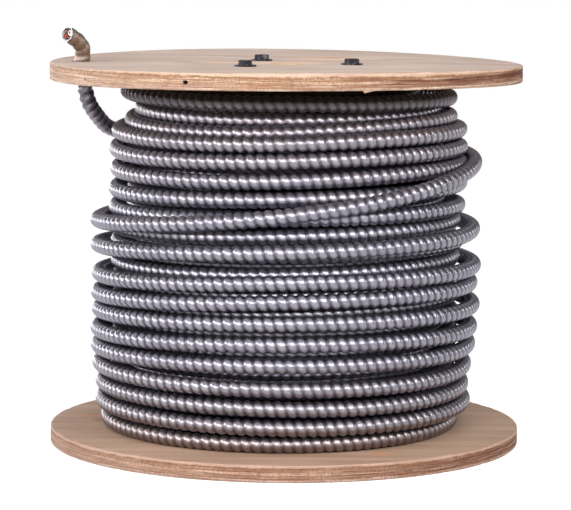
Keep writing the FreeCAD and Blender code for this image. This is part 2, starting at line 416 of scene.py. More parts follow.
def plywood_rim_material(name, seed, base, marks, tint):
    """The sawn edge: plies of different tone, glue lines, streaks along the plies, marks and painted light on the
    arbor hole's wall.

    Marks, which can also be painted shade: centre and half-size in metres, along the rim from the front and up,
    softness, strength and colour.
    """
    m = Nodes(name, Specular_IOR_Level=0.18)
    place = m.place()
    x, y, z = m.split(place)
    around = m.times(m.around(x, y), FLANGE_RADIUS * MM)
    height = m.minus(z, base)
    offset = (seed, 0, 0)
    wave = m.times(m.minus(m.grain(place, (22, 22, 0), 3, offset=offset), 0.5), 0.0011)
    level = m.math("DIVIDE", m.plus(height, wave), FLANGE_THICKNESS * MM)
    long_streaks = m.grain(place, (22, 22, 900), 5, 0.6, offset=offset)
    fine_streaks = m.grain(place, (120, 120, 2600), 3, 0.6, offset=offset)
    end_grain = m.grain(place, (800, 800, 330), 3, 0.6, offset=offset)
    m.colour = m.tones(
        level,
        (0.0, 176, 152, 135),
        (0.19, 155, 125, 103),
        (0.40, 179, 150, 126),
        (0.60, 161, 128, 101),
        (0.80, 174, 145, 120),
        (0.93, 192, 172, 154),
        interpolation="CONSTANT",
    )
    m.paint(m.span(long_streaks, 0.34, 0.56, 0.9, 0.0), 132, 95, 70)
    m.paint(m.span(long_streaks, 0.54, 0.68, 0.0, 0.75), 203, 183, 165)
    m.paint(m.span(fine_streaks, 0.52, 0.64, 0.0, 0.7), 115, 83, 61)
    m.paint(m.span(end_grain, 0.48, 0.64, 0.0, 0.5), 104, 77, 57)
    fifth = m.math("FRACT", m.plus(m.times(level, PLIES), 0.5))
    line = m.span(m.math("ABSOLUTE", m.minus(fifth, 0.5)), 0.03, 0.09, 1.0, 0.0)
    gaps = m.grain(place, (60, 60, 70), 4, 0.65, offset=(seed + 3, 0, 0))
    line = m.times(line, m.span(gaps, 0.40, 0.62, 0.1, 0.9))
    m.paint(line, 86, 57, 41)
    scorch = m.grain(place, (9, 9, 200), 4, 0.6, offset=(seed + 7, 0, 0))
    m.paint(m.span(scorch, 0.58, 0.75, 0.0, 0.5), 103, 70, 50)
    # paler on the left, browner in the middle plies on the right
    left = m.times(m.span(around, -0.02, -0.24, 0.0, 0.15), m.span(around, -0.60, -0.36))
    m.paint(left, 205, 188, 174)
    middle = m.times(m.span(level, 0.17, 0.27, 0.12, 1.0), m.span(level, 0.66, 0.80, 1.0, 0.12))
    right = m.times(m.span(around, 0.02, 0.17, 0.0, 0.8), m.span(around, 0.34, 0.60, 1.0, 0.25))
    right = m.math("MAXIMUM", right, m.span(around, -0.40, -0.62, 0.0, 0.2))
    brown = m.times(right, m.span(long_streaks, 0.64, 0.42, 0.35, 1.0))
    m.paint(m.times(brown, middle), 92, 54, 37)
    # a frayed veneer along the top, with torn places under it
    fray = m.grain(place, (95, 95, 60), 3, 0.6, offset=(seed + 11, 0, 0))
    frayed = m.plus(level, m.times(m.minus(fray, 0.5), 0.32))
    m.paint(m.span(frayed, 0.82, 0.90, 0.0, 0.55), 192, 166, 147)
    torn = m.times(m.span(frayed, 0.66, 0.74), m.span(frayed, 0.84, 0.78))
    torn = m.times(torn, m.span(end_grain, 0.40, 0.60, 0.1, 0.6))
    m.paint(torn, 112, 80, 60)
    wobble = m.times(m.minus(m.noise(place, 200, 3), 0.5), 0.9)
    for centre, size, softness, strength, shade in marks:
        mask = m.spot(around, height, centre, size, softness, wobble)
        mask = m.times(mask, m.span(long_streaks, 0.70, 0.46, 0.7, 1.0))
        m.paint(m.times(mask, strength), *shade)
    # painted light: the arbor hole's wall, which lies in shade, is lightened
    arbor_wall_painted_light = m.span(m.distance(x, y), 0.016, 0.020, 0.45, 0.0)
    m.paint(arbor_wall_painted_light, 236, 206, 172)
    m.base_colour(m.mix(1.0, m.colour, tint, "MULTIPLY"))
    m.roughness(m.span(fine_streaks, 0.3, 0.7, 0.65, 0.85))
    relief = m.minus(m.times(long_streaks, 0.8), m.times(line, 0.5))
    m.bump(m.plus(relief, m.times(end_grain, 0.4)), 0.0004, 0.9)
    return m.material


def black_steel_material():
    m = Nodes("black_steel", Metallic=0.75)
    place = m.place()
    fine = m.noise(place, 900, 4, 0.6)
    wear = m.noise(place, 240, 3)
    m.colour = m.tones(fine, (0.3, 26, 25, 29), (0.7, 48, 46, 52))
    m.paint(m.span(wear, 0.56, 0.70, 0.0, 0.6), 108, 106, 114)
    m.base_colour(m.colour)
    m.roughness(m.span(wear, 0.3, 0.7, 0.24, 0.42))
    m.bump(fine, 0.00006)
    return m.material


def plated_steel_material():
    m = Nodes("zinc_plated_steel", Metallic=1.0)
    place = m.place()
    fine = m.noise(place, 700, 4, 0.6)
    stain = m.noise(place, 160, 3)
    m.colour = m.tones(fine, (0.3, 176, 174, 160), (0.7, 214, 213, 206))
    m.paint(m.span(stain, 0.5, 0.7, 0.0, 0.4), 150, 140, 104)
    m.base_colour(m.colour)
    m.roughness(m.span(stain, 0.3, 0.7, 0.22, 0.4))
    m.bump(fine, 0.00005)
    return m.material


def fibre_material():
    m = Nodes("kraft_fibre_tube", Specular_IOR_Level=0.3)
    place = m.place()
    x, y, z = m.split(place)
    around = m.math("DIVIDE", m.around(x, y), TURN)
    wrapped = m.math("FRACT", m.plus(m.math("DIVIDE", z, 0.11), around))
    seam = m.span(m.math("ABSOLUTE", m.minus(wrapped, 0.5)), 0.004, 0.012, 1.0, 0.0)
    fibres = m.grain(place, (60, 60, 400), 5, 0.65)
    specks = m.noise(place, 900, 2)
    m.colour = m.tones(fibres, (0.3, 150, 116, 82), (0.7, 184, 148, 108))
    m.paint(m.span(specks, 0.62, 0.7, 0.0, 0.4), 110, 82, 58)
    # painted shade: the drum's top end, under the top flange, is darkened nearly to black
    m.paint(m.span(z, 0.26, 0.30, 0.0, 0.92), 30, 22, 18)
    m.paint(seam, 96, 70, 48)
    m.base_colour(m.colour)
    m.roughness(m.span(fibres, 0.3, 0.7, 0.75, 0.9))
    m.bump(m.minus(fibres, seam), 0.0003)
    return m.material


def plastic_material(name, dark, light, roughness):
    m = Nodes(name)
    place = m.place()
    cloud = m.noise(place, 300, 3)
    drag = m.grain(place, (1500, 1500, 260), 3)
    m.base_colour(m.tones(cloud, (0.3, *dark), (0.7, *light)))
    m.roughness(m.span(drag, 0.3, 0.7, roughness - 0.08, roughness + 0.08))
    m.bump(drag, 0.00003)
    return m.material


def copper_material():
    m = Nodes("bare_copper", Metallic=1.0)
    place = m.place()
    marks = m.grain(place, (2500, 2500, 900), 3)
    m.base_colour(m.tones(marks, (0.3, 120, 72, 56), (0.7, 160, 106, 86)))
    m.roughness(m.span(marks, 0.3, 0.7, 0.22, 0.38))
    m.bump(marks, 0.00003)
    return m.material


def floor_material():
    m = Nodes("pale_floor", Base_Color=(0.2, 0.2, 0.2, 1), Roughness=0.8, Emission_Strength=0.93)
    m.shader.inputs["Emission Color"].default_value = (1, 1, 1, 1)
    return m.material


# ---------------------------------------------------------------- meshes


def make_piece(name, points, faces, materials, face_materials=None):
    """A smooth-shaded piece, from points in millimetres."""
    mesh = bpy.data.meshes.new(name)
    mesh.from_pydata((np.asarray(points) * MM).tolist(), [], faces)
    for material in materials:
        mesh.materials.append(material)
    if face_materials is not None:
        mesh.polygons.foreach_set("material_index", np.asarray(face_materials, np.int32))
    mesh.shade_smooth()
    mesh.update()
    return place_in_scene(name, mesh)


def set_attribute(piece, name, values):
    attribute = piece.data.attributes.new(name, "FLOAT", "POINT")
    attribute.data.foreach_set("value", np.asarray(values, np.float32))


def belongs(piece, slot, *nodes):
    """Rides the piece on the one body and lets it stand for those CAD nodes, which it hides. The slot is not used."""
    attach(piece, "root")
    if nodes:
        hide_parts(*nodes)


def strip_faces(rows, columns):
    """The faces between rows of points that each close into a ring, as an array of corners."""
    index = np.arange(rows * columns).reshape(rows, columns)
    beside = np.roll(index, -1, axis=1)
    return np.stack([index[:-1], beside[:-1], beside[1:], index[1:]], axis=-1).reshape(-1, 4)


def on_circle(radius, angle, height):
    a = math.radians(angle)
    return (radius * math.cos(a), radius * math.sin(a), height)


# ---------------------------------------------------------------- cable routes


# Each turn of the outer cable: its heights at the left, the left front, the front, the right front and the
# right, its radii at the left, the front and the right, then its height and radius at the back, where None
# stands for halfway to the next turn.
OUTER_TURNS = [
    ((261.5, 263.0, 267.5, 272.0, 274.5), (131.0, 131.0, 131.0), (None, 133.0)),
    ((289.0, 286.5, 285.5, 287.5, 289.5), (124.0, 124.0, 127.5), (295.5, 131.0)),
    ((304.0, 301.0, 301.5, 300.0, 299.0), (136.0, 136.0, 141.0), (290.5, 147.0)),
    ((278.0, 275.0, 277.0, 282.0, 283.5), (132.0, 135.0, 141.4), (277.0, 146.5)),
    ((269.5, 267.0, 269.0, 272.0, 272.5), (143.0, 146.0, 149.7), (None, 150.0)),
    ((254.0, 252.5, 255.0, 257.5, 257.5), (145.5, 147.0, 150.5), (None, 150.5)),
    ((236.5, 236.5, 238.0, 242.5, 242.5), (144.5, 146.0, 151.5), (None, 151.5)),
    ((219.0, 220.0, 223.0, 226.0, 226.5), (146.0, 146.0, 150.5), (None, 150.5)),
    ((203.5, 204.5, 207.5, 208.0, 207.0), (146.0, 145.5, 149.0), (None, 149.0)),
    ((188.0, 189.5, 192.5, 194.0, 193.5), (144.5, 145.0, 144.8), (None, 149.0)),
    ((174.0, 175.3, 177.0, 177.5, 176.5), (144.0, 144.5, 148.5), (None, 149.0)),
    ((158.0, 158.5, 161.0, 162.5, 162.0), (144.0, 144.5, 144.3), (None, 149.0)),
    ((142.0, 143.0, 144.5, 146.0, 147.0), (144.0, 144.5, 144.0), (None, 149.0)),
    ((126.0, 127.0, 128.5, 130.0, 131.5), (144.0, 144.5, 144.0), (None, 149.0)),
    ((110.5, 111.5, 112.5, 114.0, 115.5), (144.0, 144.5, 144.0), (None, 149.0)),
    ((95.5, 96.0, 96.5, 98.0, 99.5), (144.0, 144.5, 143.0), (None, 149.0)),
    ((80.5, 80.5, 80.5, 82.0, 83.5), (144.0, 144.5, 142.0), (None, 149.0)),
    ((65.5, 65.0, 64.5, 66.0, 67.5), (144.0, 144.5, 141.0), (None, 149.0)),
    ((50.5, 50.0, 49.5, 50.5, 51.5), (144.0, 144.0, 141.0), (46.0, 148.0)),
    ((33.0, 34.0, 35.0, 35.5, 36.0), (143.5, 144.0, 143.0), (31.0, 146.0)),
    ((22.0, 21.2, 21.2, 21.2, 21.2), (153.0, 150.0, 144.0), (30.0, 164.5)),
    ((37.0, 36.7, 35.7, 35.4, 37.0), (157.5, 155.0, 155.0), (None, 158.0)),
    ((52.5, 52.5, 51.5, 50.5, 52.0), (157.5, 155.0, 153.5), (None, 158.0)),
    ((68.2, 68.8, 68.0, 67.0, 69.0), (160.3, 157.0, 155.5), (None, 159.5)),
    ((83.5, 86.0, 88.0, 86.8, 86.4), (161.5, 159.0, 159.2), (None, 161.0)),
    ((98.4, 102.0, 105.8, 104.0, 101.4), (162.0, 159.5, 160.8), (None, 162.0)),
    ((114.8, 119.0, 122.8, 122.0, 120.2), (161.0, 159.0, 162.5), (None, 162.5)),
    ((128.6, 134.5, 141.0, 141.0, 139.5), (161.6, 159.0, 160.2), (None, 162.5)),
    ((146.0, 150.5, 157.0, 156.0, 154.4), (161.0, 159.5, 163.2), (None, 163.0)),
    ((170.3, 176.5, 181.3, 183.8, 186.3), (161.6, 160.0, 162.0), (190.6, 163.0)),
]
HIDDEN_TURNS = (12, 20)
# how uneven each layer's heights and radii are, in millimetres
OUTER_SHAKE = (0.35, 0.25)
INNER_SHAKE = (0.25, 0.2)
CABLE_SEED = 7
# the line's last steps, in the tail, where it no longer goes round the reel
TAIL_STEPS = 80
# the way that the tail's cut end faces, and the armour's radius there
CUT_FACES = (-0.62, -0.74, 0.26)
EDGE_RADIUS = 6.5
# places along one rib where its section is modelled: at the cut end, behind other turns and in the layers underneath
FINE_RINGS = (0.0, 0.07, 0.13, 0.175, 0.22, 0.27, 0.32, 0.40, 0.48, 0.56, 0.64, 0.70, 0.76, 0.82, 0.87, 0.94)
HIDDEN_RINGS = (0.0, 0.12, 0.35, 0.65, 0.88)
INNER_RINGS = (0.0, 0.2, 0.75)

# The layers under it: turns wound since the cable's inner end, radius and height.
INNER_LAYERS = (
    (0.0, 108.7, 21.3),
    (20.7, 108.7, 307.0),
    (21.4, 120.6, 277.0),
    (39.9, 120.6, 21.3),
    (40.5, 132.6, 21.3),
    (57.9, 131.5, 260.5),
)

# The loose turn's points, as angle, radius and height, and the tail's.
LOOSE_TURN = (
    (172.0, 160.6, 192.6),
    (186.0, 164.69, 192.0),
    (212.0, 164.6, 196.0),
    (238.0, 164.4, 202.0),
    (264.0, 164.5, 209.0),
    (290.0, 164.8, 217.6),
    (316.0, 165.4, 228.8),
    (342.0, 166.4, 239.8),
    (368.0, 167.6, 246.6),
    (394.0, 168.3, 249.0),
    (420.0, 168.6, 250.4),
    (446.0, 168.6, 251.8),
    (472.0, 168.3, 254.0),
    (498.0, 167.4, 257.6),
)
TAIL = (
    (-154.5, 47.0, 264.5),
    (-164.5, 21.0, 279.5),
    (-171.2, 4.0, 292.5),
    (-173.6, -5.0, 309.0),
    (-175.8, -5.6, 326.0),
    (-173.4, -9.5, 344.2),
    (-187.0, -22.0, 352.0),
)


def smooth_value(places, values, place):
    """The value at place on the smooth line through the values given at those places."""
    i = min(max(int(np.searchsorted(places, place, side="right")) - 1, 0), len(places) - 2)
    steps = np.diff(places)
    slopes = np.diff(values) / steps

    def slope(k):
        before, after = max(k - 1, 0), min(k, len(slopes) - 1)
        return (slopes[before] * steps[after] + slopes[after] * steps[before]) / (steps[before] + steps[after])

    share = (place - places[i]) / steps[i]
    s2, s3 = share**2, share**3
    return (
        values[i] * (2 * s3 - 3 * s2 + 1)
        + slope(i) * steps[i] * (s3 - 2 * s2 + share)
        + values[i + 1] * (3 * s2 - 2 * s3)
        + slope(i + 1) * steps[i] * (s3 - s2)
    )


def outer_stations():
    """The places, in turns, and heights of the outer cable's stations, and the places and radii."""
    heights, radii = [], []
    for number, (turn_heights, turn_radii, (back_height, back_radius)) in enumerate(OUTER_TURNS):
        if back_height is None:
            back_height = (turn_heights[-1] + OUTER_TURNS[number + 1][0][0]) / 2
        heights += [(number + eighth / 8, height) for eighth, height in enumerate(turn_heights)]
        heights.append((number + 0.75, back_height))
        radii += [(number + quarter / 4, radius) for quarter, radius in enumerate((*turn_radii, back_radius))]
    _, radius, height = LOOSE_TURN[0]
    heights.append((len(OUTER_TURNS), height))
    radii.append((len(OUTER_TURNS), radius + 1.0))
    return np.array(heights).T, np.array(radii).T


def outer_points(rng):
    """The outer cable's control points: its turns, the loose turn and the tail."""
    heights, radii = outer_stations()
    points = []
    for step in range(len(OUTER_TURNS) * POINTS_PER_TURN):
        turns = step / POINTS_PER_TURN
        height = smooth_value(*heights, turns) + rng.uniform(-OUTER_SHAKE[0], OUTER_SHAKE[0])
        radius = smooth_value(*radii, turns) + rng.uniform(-OUTER_SHAKE[1], OUTER_SHAKE[1])
        points.append(on_circle(radius / SPLINE_REACH, 180 + 360 * turns, max(height, LOWEST_CENTRE)))
    points += [on_circle(radius, angle, height) for angle, radius, height in LOOSE_TURN]
    return points + list(TAIL)


def inner_points(rng, end):
    """The control points of the layers underneath, which end where the outer cable starts."""
    total = INNER_LAYERS[-1][0]
    turns, radii, heights = zip(*INNER_LAYERS)
    points = []
    count = int(total * POINTS_PER_TURN)
    for i in range(count):
        done = total - (count - i) / POINTS_PER_TURN
        radius = np.interp(done, turns, radii) + rng.uniform(-INNER_SHAKE[1], INNER_SHAKE[1])
        height = max(np.interp(done, turns, heights) + rng.uniform(-INNER_SHAKE[0], INNER_SHAKE[0]), LOWEST_CENTRE)
        points.append(on_circle(radius / SPLINE_REACH, 180 + 360 * (done - total), height))
    return points + [end]


def spline_line(name, points):
    """The line of the smooth spline with those control points, in millimetres."""
    curve = bpy.data.curves.new(name, "CURVE")
    curve.dimensions = "3D"
    spline = curve.splines.new("NURBS")
    spline.points.add(len(points) - 1)
    for knot, point in zip(spline.points, points):
        knot.co = (*(c * MM for c in point), 1.0)
    spline.order_u = 3
    spline.use_endpoint_u = True
    spline.resolution_u = SPLINE_STEPS
    curve.resolution_u = SPLINE_STEPS
    holder = bpy.data.objects.new(name, curve)
    mesh = bpy.data.meshes.new_from_object(holder)
    line = np.array([v.co for v in mesh.vertices], float) / MM
    bpy.data.objects.remove(holder)
    bpy.data.curves.remove(curve)
    bpy.data.meshes.remove(mesh)
    keep = np.concatenate([[True], np.linalg.norm(np.diff(line, axis=0), axis=1) > SHORTEST_STEP])
    return line[keep]


class Route:
    """A smooth line with the distance along it, and a steady pair of sideways directions."""

    def __init__(self, line):
        self.line = line
        self.along = np.concatenate([[0], np.cumsum(np.linalg.norm(np.diff(line, axis=0), axis=1))])
        self.length = self.along[-1]
        heading = np.gradient(line, self.along, axis=0)
        self.heading = heading / np.linalg.norm(heading, axis=1)[:, None]
        side = np.zeros_like(line)
        last = np.cross(self.heading[-1], (0, 0, 1))
        for i in range(len(line) - 1, -1, -1):
            last = last - last.dot(self.heading[i]) * self.heading[i]
            last = last / np.linalg.norm(last)
            side[i] = last
        self.side = side

    def at(self, distance):
        """Points, headings and the two sideways directions at those distances; past the ends it runs on straight."""
        inside = np.clip(distance, 0, self.length)
        point, heading, side = (
            np.stack([np.interp(inside, self.along, values[:, k]) for k in range(3)], axis=-1)
            for values in (self.line, self.heading, self.side)
        )
        heading /= np.linalg.norm(heading, axis=-1)[..., None]
        side -= (side * heading).sum(-1)[..., None] * heading
        side /= np.linalg.norm(side, axis=-1)[..., None]
        point = point + (distance - inside)[..., None] * heading
        return point, heading, side, np.cross(heading, side)


def rib_value(phase, values):
    return np.interp(phase % 1.0, (*RIB_PLACES, 1.0), (*values, values[0]))


def press_ribs(distance, radius, stop):
    """The ribs' radius near the tail's cut end, where they are pressed flatter, and by what share."""
    share = PRESSED_SHARE * np.clip((distance - stop + PRESSED_FROM) / PRESSED_FADE, 0, 1)
    return radius + (PRESSED_RADIUS - radius) * share, share


def armour_tube(route, start, stop, around, rings, cut=None):
    """The ribbed armour from start to stop: points, faces and how deep in a groove each point is.

    Its ribs wind round the cable like a thread. cut(angle, radius) moves the end along the cable.
    """
    first = math.floor(start / RIB_PITCH * around) - around
    last = math.ceil((stop + SLANT_REACH) / RIB_PITCH * around) + 1
    k = np.arange(first, last + around)[:, None] + np.zeros(len(rings))[None]
    t = np.array(rings)[None] + 0 * k
    angle = TURN * k / around
    s = RIB_PITCH * (k / around + t)
    radius = rib_value(t, RIB_RADII)
    end = np.full(s.shape, float(stop))
    if cut:
        end = end + cut(angle, radius)
    low, high = s < start, s > end
    s = np.clip(s, start, end)
    phase = s / RIB_PITCH - k / around
    radius = rib_value(phase, RIB_RADII)
    groove = rib_value(phase, RIB_GROOVES)
    if cut:
        radius, pressed = press_ribs(s, radius, stop)
        groove = groove * (1 - pressed)
        s = np.where(high, stop + cut(angle, radius), s)
    point, _, side, up = route.at(s)
    points = point + radius[..., None] * (np.cos(angle)[..., None] * side + np.sin(angle)[..., None] * up)
    columns, rows = len(k) - around - 1, len(rings)
    index = np.arange(len(k) * rows).reshape(len(k), rows)
    # every clamped point of a column is one point
    column = np.arange(len(k)) % around
    flat = index.ravel().copy()
    for clamped in (low, high):
        places = np.flatnonzero(clamped.ravel())
        keys = np.repeat(column, rows)[places]
        _, lead = np.unique(keys, return_index=True)
        lead_of = dict(zip(keys[lead].tolist(), places[lead].tolist()))
        flat[places] = [lead_of[key] for key in keys.tolist()]
    index = flat.reshape(len(k), rows)
    here = index[:columns]
    full = np.concatenate([here, index[around : around + columns, :1]], axis=1)
    beside = np.concatenate([index[1 : columns + 1], index[around + 1 : around + columns + 1, :1]], axis=1)
    quads = np.stack([full[:, :-1], beside[:, :-1], beside[:, 1:], full[:, 1:]], axis=-1).reshape(-1, 4)
    faces = tidy_faces(quads)
    return points.reshape(-1, 3), faces, groove.ravel()


def tidy_faces(quads):
    """The faces as lists, with repeated corners dropped and faces of no area left out."""
    same = (quads == np.roll(quads, 1, axis=1)).sum(1) + (quads[:, 0] == quads[:, 2]) + (quads[:, 1] == quads[:, 3])
    faces = quads[same == 0].tolist()
    for quad in quads[same > 0].tolist():
        corners = [c for i, c in enumerate(quad) if c != quad[i - 1]]
        if len(set(corners)) == len(corners) and len(corners) > 2:
            faces.append(corners)
    return faces


class Build:
    """Points, faces and values gathered from several parts of one piece."""

    def __init__(self):
        self.points, self.faces, self.values, self.materials = [], [], [], []
        self.count = 0

    def add(self, points, faces, values=(), material=0):
        self.points.append(np.asarray(points))
        self.faces += [[c + self.count for c in face] for face in faces]
        self.values.append(np.asarray(values, float))
        self.materials += [material] * len(faces)
        self.count += len(points)

    def piece(self, name, materials, value_name=None):
        points = np.concatenate(self.points)
        used = np.unique(np.concatenate([np.asarray(f) for f in self.faces]))
        new = np.full(len(points), -1)
        new[used] = np.arange(len(used))
        faces = [new[f].tolist() for f in map(np.asarray, self.faces)]
        piece = make_piece(name, points[used], faces, materials, self.materials)
        if value_name:
            set_attribute(piece, value_name, np.concatenate(self.values)[used])
        return piece


def tube(route, distances, around, radius, offset=(0.0, 0.0), cut=None, inward=False, capped=False):
    """A smooth tube along the route: points and faces.

    offset(distance) moves its centre sideways, and cut(angle, radius) moves its end along the route.
    """
    distances = np.asarray(distances, float)
    angle = TURN * np.arange(around) / around
    s = distances[:, None] + 0 * angle[None]
    shift = offset(distances) if callable(offset) else np.zeros((len(distances), 2)) + offset
    a = shift[:, 0][:, None] + radius * np.cos(angle)[None]
    b = shift[:, 1][:, None] + radius * np.sin(angle)[None]
    if cut:
        final = cut(np.arctan2(b[-1], a[-1]), np.hypot(a[-1], b[-1]))
        fade = np.clip((distances - distances[-1] + SLANT_FADE) / SLANT_FADE, 0, 1)[:, None]
        s = s + fade * final[None]
    point, _, side, up = route.at(s)
    points = point + a[..., None] * side + b[..., None] * up
    points = points.reshape(-1, 3)
    faces = strip_faces(len(distances), around)
    if inward:
        faces = faces[:, ::-1]
    faces = faces.tolist()
    if capped:
        faces += [list(range(around))[::-1], list(range(len(points) - around, len(points)))]
    return points, faces


def make_stage():
    make_camera()
    make_world()
    for name, settings in SOFTBOXES.items():
        make_softbox(name, *settings)
    mesh = bpy.data.meshes.new("floor")
    corners = [(x * FLOOR_REACH, y * FLOOR_REACH, 0) for x, y in ((-1, -1), (1, -1), (1, 1), (-1, 1))]
    mesh.from_pydata(corners, [], [(0, 1, 2, 3)])
    mesh.materials.append(floor_material())
    place_in_scene("floor", mesh)


make_stage()

# ---------------------------------------------------------------- the cable

rng = random.Random(CABLE_SEED)
outer_line = spline_line("outer_route", outer_points(rng))
outer = Route(outer_line)
inner_line = spline_line("inner_route", inner_points(rng, tuple(outer_line[0])))
inner = Route(inner_line)

# from where to where other turns hide the outer cable
turned = np.unwrap(np.arctan2(outer_line[:, 1], outer_line[:, 0]))[:-TAIL_STEPS]
turned = (turned - turned[0]) / TURN
hidden_start, hidden_stop = (float(np.interp(t, turned, outer.along[:-TAIL_STEPS])) for t in HIDDEN_TURNS)

# the slanted cut at the tail's end
cut_normal = np.array(CUT_FACES)
cut_normal = cut_normal / np.linalg.norm(cut_normal)
_, end_heading, end_side, end_up = (v[0] for v in outer.at(np.array([outer.length])))
# in the cable's section, the direction seen as to the right
section_right = math.atan2(end_up[0], end_side[0])


def slant(angle, radius):
    """How far past the route's end the cut is, at that place in the cable's section."""
    sideways = radius * (np.cos(angle) * end_side.dot(cut_normal) + np.sin(angle) * end_up.dot(cut_normal))
    return -sideways / end_heading.dot(cut_normal)


def cut_rim():
    """The armour's bright cut edge: points and faces, from its outside to its bore."""
    angles = TURN * np.arange(FINE_AROUND) / FINE_AROUND
    edge = outer.length + slant(angles, np.full(FINE_AROUND, EDGE_RADIUS))
    ribs = rib_value(edge / RIB_PITCH - angles / TURN, RIB_RADII)
    edge_radius, _ = press_ribs(edge, ribs, outer.length)
    rings = []
    for radius in (edge_radius, np.full(FINE_AROUND, BORE_RADIUS)):
        point, _, side, up = outer.at(outer.length + slant(angles, radius))
        rings.append(point + radius[:, None] * (np.cos(angles)[:, None] * side + np.sin(angles)[:, None] * up))
    return np.concatenate(rings), strip_faces(2, FINE_AROUND).tolist()


def make_cable(armour):
    """The outer cable: ribbed armour, coarser where it is hidden and finer at the tail's cut end."""
    build = Build()
    for start, stop, around, rings, cut in (
        (0.0, hidden_start, SHOWN_AROUND, RIB_PLACES, None),
        (hidden_start, hidden_stop, HIDDEN_AROUND, HIDDEN_RINGS, None),
        (hidden_stop, outer.length - FINE_LENGTH, SHOWN_AROUND, RIB_PLACES, None),
        (outer.length - FINE_LENGTH, outer.length, FINE_AROUND, FINE_RINGS, slant),
    ):
        build.add(*armour_tube(outer, start, stop, around, rings, cut))
    depths = np.linspace(outer.length - BORE_DEPTH, outer.length, 15)
    bore = tube(outer, depths, FINE_AROUND, BORE_RADIUS, cut=slant, inward=True)
    for (points, faces), groove in ((cut_rim(), 0.0), (bore, BORE_GROOVE)):
        build.add(points, faces, np.full(len(points), groove), 1)
    return build.piece("cable", [armour, cut_metal_material()], "groove")


def make_film():
    """The thin film round the conductors, with an inside and an outside."""
    build = Build()
    along = conductor_places - WRAP_SET_BACK
    for radius, inward in ((WRAP_RADIUS, False), (WRAP_RADIUS - WRAP_WALL, True)):
        build.add(*tube(outer, along, WRAP_AROUND, radius, cut=slant, inward=inward))
    return build.piece("wrap_film", [plastic_material("wrap_film", (196, 196, 200), (226, 226, 230), 0.3)])


def make_conductor(colour, place, dark, light, roughness, reach):
    """One twisted conductor's insulation, an open sleeve, and the wire in it."""

    def offset(s):
        a = section_right + math.radians(place) + TURN * (s - outer.length) / TWIST_PITCH
        return CONDUCTOR_CIRCLE_RADIUS * np.stack([np.cos(a), np.sin(a)], axis=-1)

    along = conductor_places + reach
    build = Build()
    for radius, inward in ((INSULATION_RADIUS, False), (COPPER_RADIUS, True)):
        sleeve = tube(outer, along - JACKET_SET_BACK, JACKET_AROUND, radius, offset, slant, inward)
        build.add(*sleeve)
    outside = np.arange(build.count // 2 - JACKET_AROUND, build.count // 2)
    inside = outside + build.count // 2
    rim = np.stack([outside, np.roll(outside, -1), np.roll(inside, -1), inside], axis=-1)
    build.faces += rim.tolist()
    build.materials += [0] * len(rim)
    jacket = build.piece(f"jacket_{colour}", [plastic_material(f"insulation_{colour}", dark, light, roughness)])
    belongs(jacket, f"insulation_{colour}", f"insulation_{colour}")
    build = Build()
    build.add(*tube(outer, along, WIRE_AROUND, COPPER_RADIUS - COPPER_PLAY, offset, slant, capped=True))
    wire = build.piece(f"wire_{colour}", [copper])
    belongs(wire, "copper", f"copper_{colour}")
    return [jacket, wire]


armour = armour_material()
cable = make_cable(armour)
belongs(cable, "armour", "winding_lower", "winding_upper", "cable_tail")

build = Build()
build.add(*armour_tube(inner, 0.0, inner.length, INNER_AROUND, INNER_RINGS))
inner_cable = build.piece("cable_inner_layers", [armour], "groove")
belongs(inner_cable, "armour", "winding_lower", "winding_upper")

fine_start = outer.length - CONDUCTOR_FINE_LENGTH
conductor_places = np.concatenate(
    [np.arange(outer.length - TAIL_LENGTH, fine_start, CONDUCTOR_STEP), np.linspace(fine_start, outer.length, 31)]
)
film = make_film()
belongs(film, "wrap_film", "tail_wrap")
along_pieces = [film]
copper = copper_material()
for colour, settings in CONDUCTORS.items():
    along_pieces += make_conductor(colour, *settings)


# ---------------------------------------------------------------- the flanges


def smooth_noise(rng, size, cells, octaves=1):
    """Smooth values from -1 to 1 on a grid, which join up round the rim."""
    total = np.zeros(size)
    weight = 1.0
    for _ in range(octaves):
        grid = rng.uniform(-1, 1, cells)
        rows = np.arange(size[0]) / size[0] * cells[0]
        columns = np.linspace(0, cells[1] - 1.001, size[1])
        r0, c0 = rows.astype(int), columns.astype(int)
        fr, fc = rows - r0, columns - c0
        fr, fc = (f * f * (3 - 2 * f) for f in (fr, fc))
        r1, c1 = (r0 + 1) % cells[0], np.minimum(c0 + 1, cells[1] - 1)
        top = grid[r0][:, c0] * (1 - fc) + grid[r0][:, c1] * fc
        low = grid[r1][:, c0] * (1 - fc) + grid[r1][:, c1] * fc
        total += weight * (top * (1 - fr)[:, None] + low * fr[:, None])
        weight *= 0.5
        cells = (cells[0] * 2, cells[1] * 2)
    return total


RIM_STEPS = 1056
VOID_REACH = 1.25
CHIP_COUNT = 60
# the share of the chips that are at a board's upper edge as it is built
CHIPS_ABOVE = 0.65
# slivers of veneer: angle, length along the rim and drop
SLIVERS = ((233.0, 2.0, 2.2), (243.5, 1.6, 1.8), (246.0, 1.2, 1.2), (289.2, 12.0, 2.8))
SLIVER_STEPS = 6
# the top board's bend: where it starts, over what length, its size and direction, a tilt and a drop
WARP_FROM = 115.0
WARP_OVER = 85.0
WARP_BEND = 1.3
WARP_DIRECTION = 107.0
WARP_TILT = 0.2
WARP_DROP = 0.3
TOP_SEED = 21
BASE_SEED = 33
FACE_RADII = (130.0, 150.0, 170.0, 185.0, 199.0)
RIM_HEIGHTS = np.concatenate([[0.0, 0.25, 0.55], np.linspace(0.9, 13.3, 34), [13.65, 13.95, 14.2]])


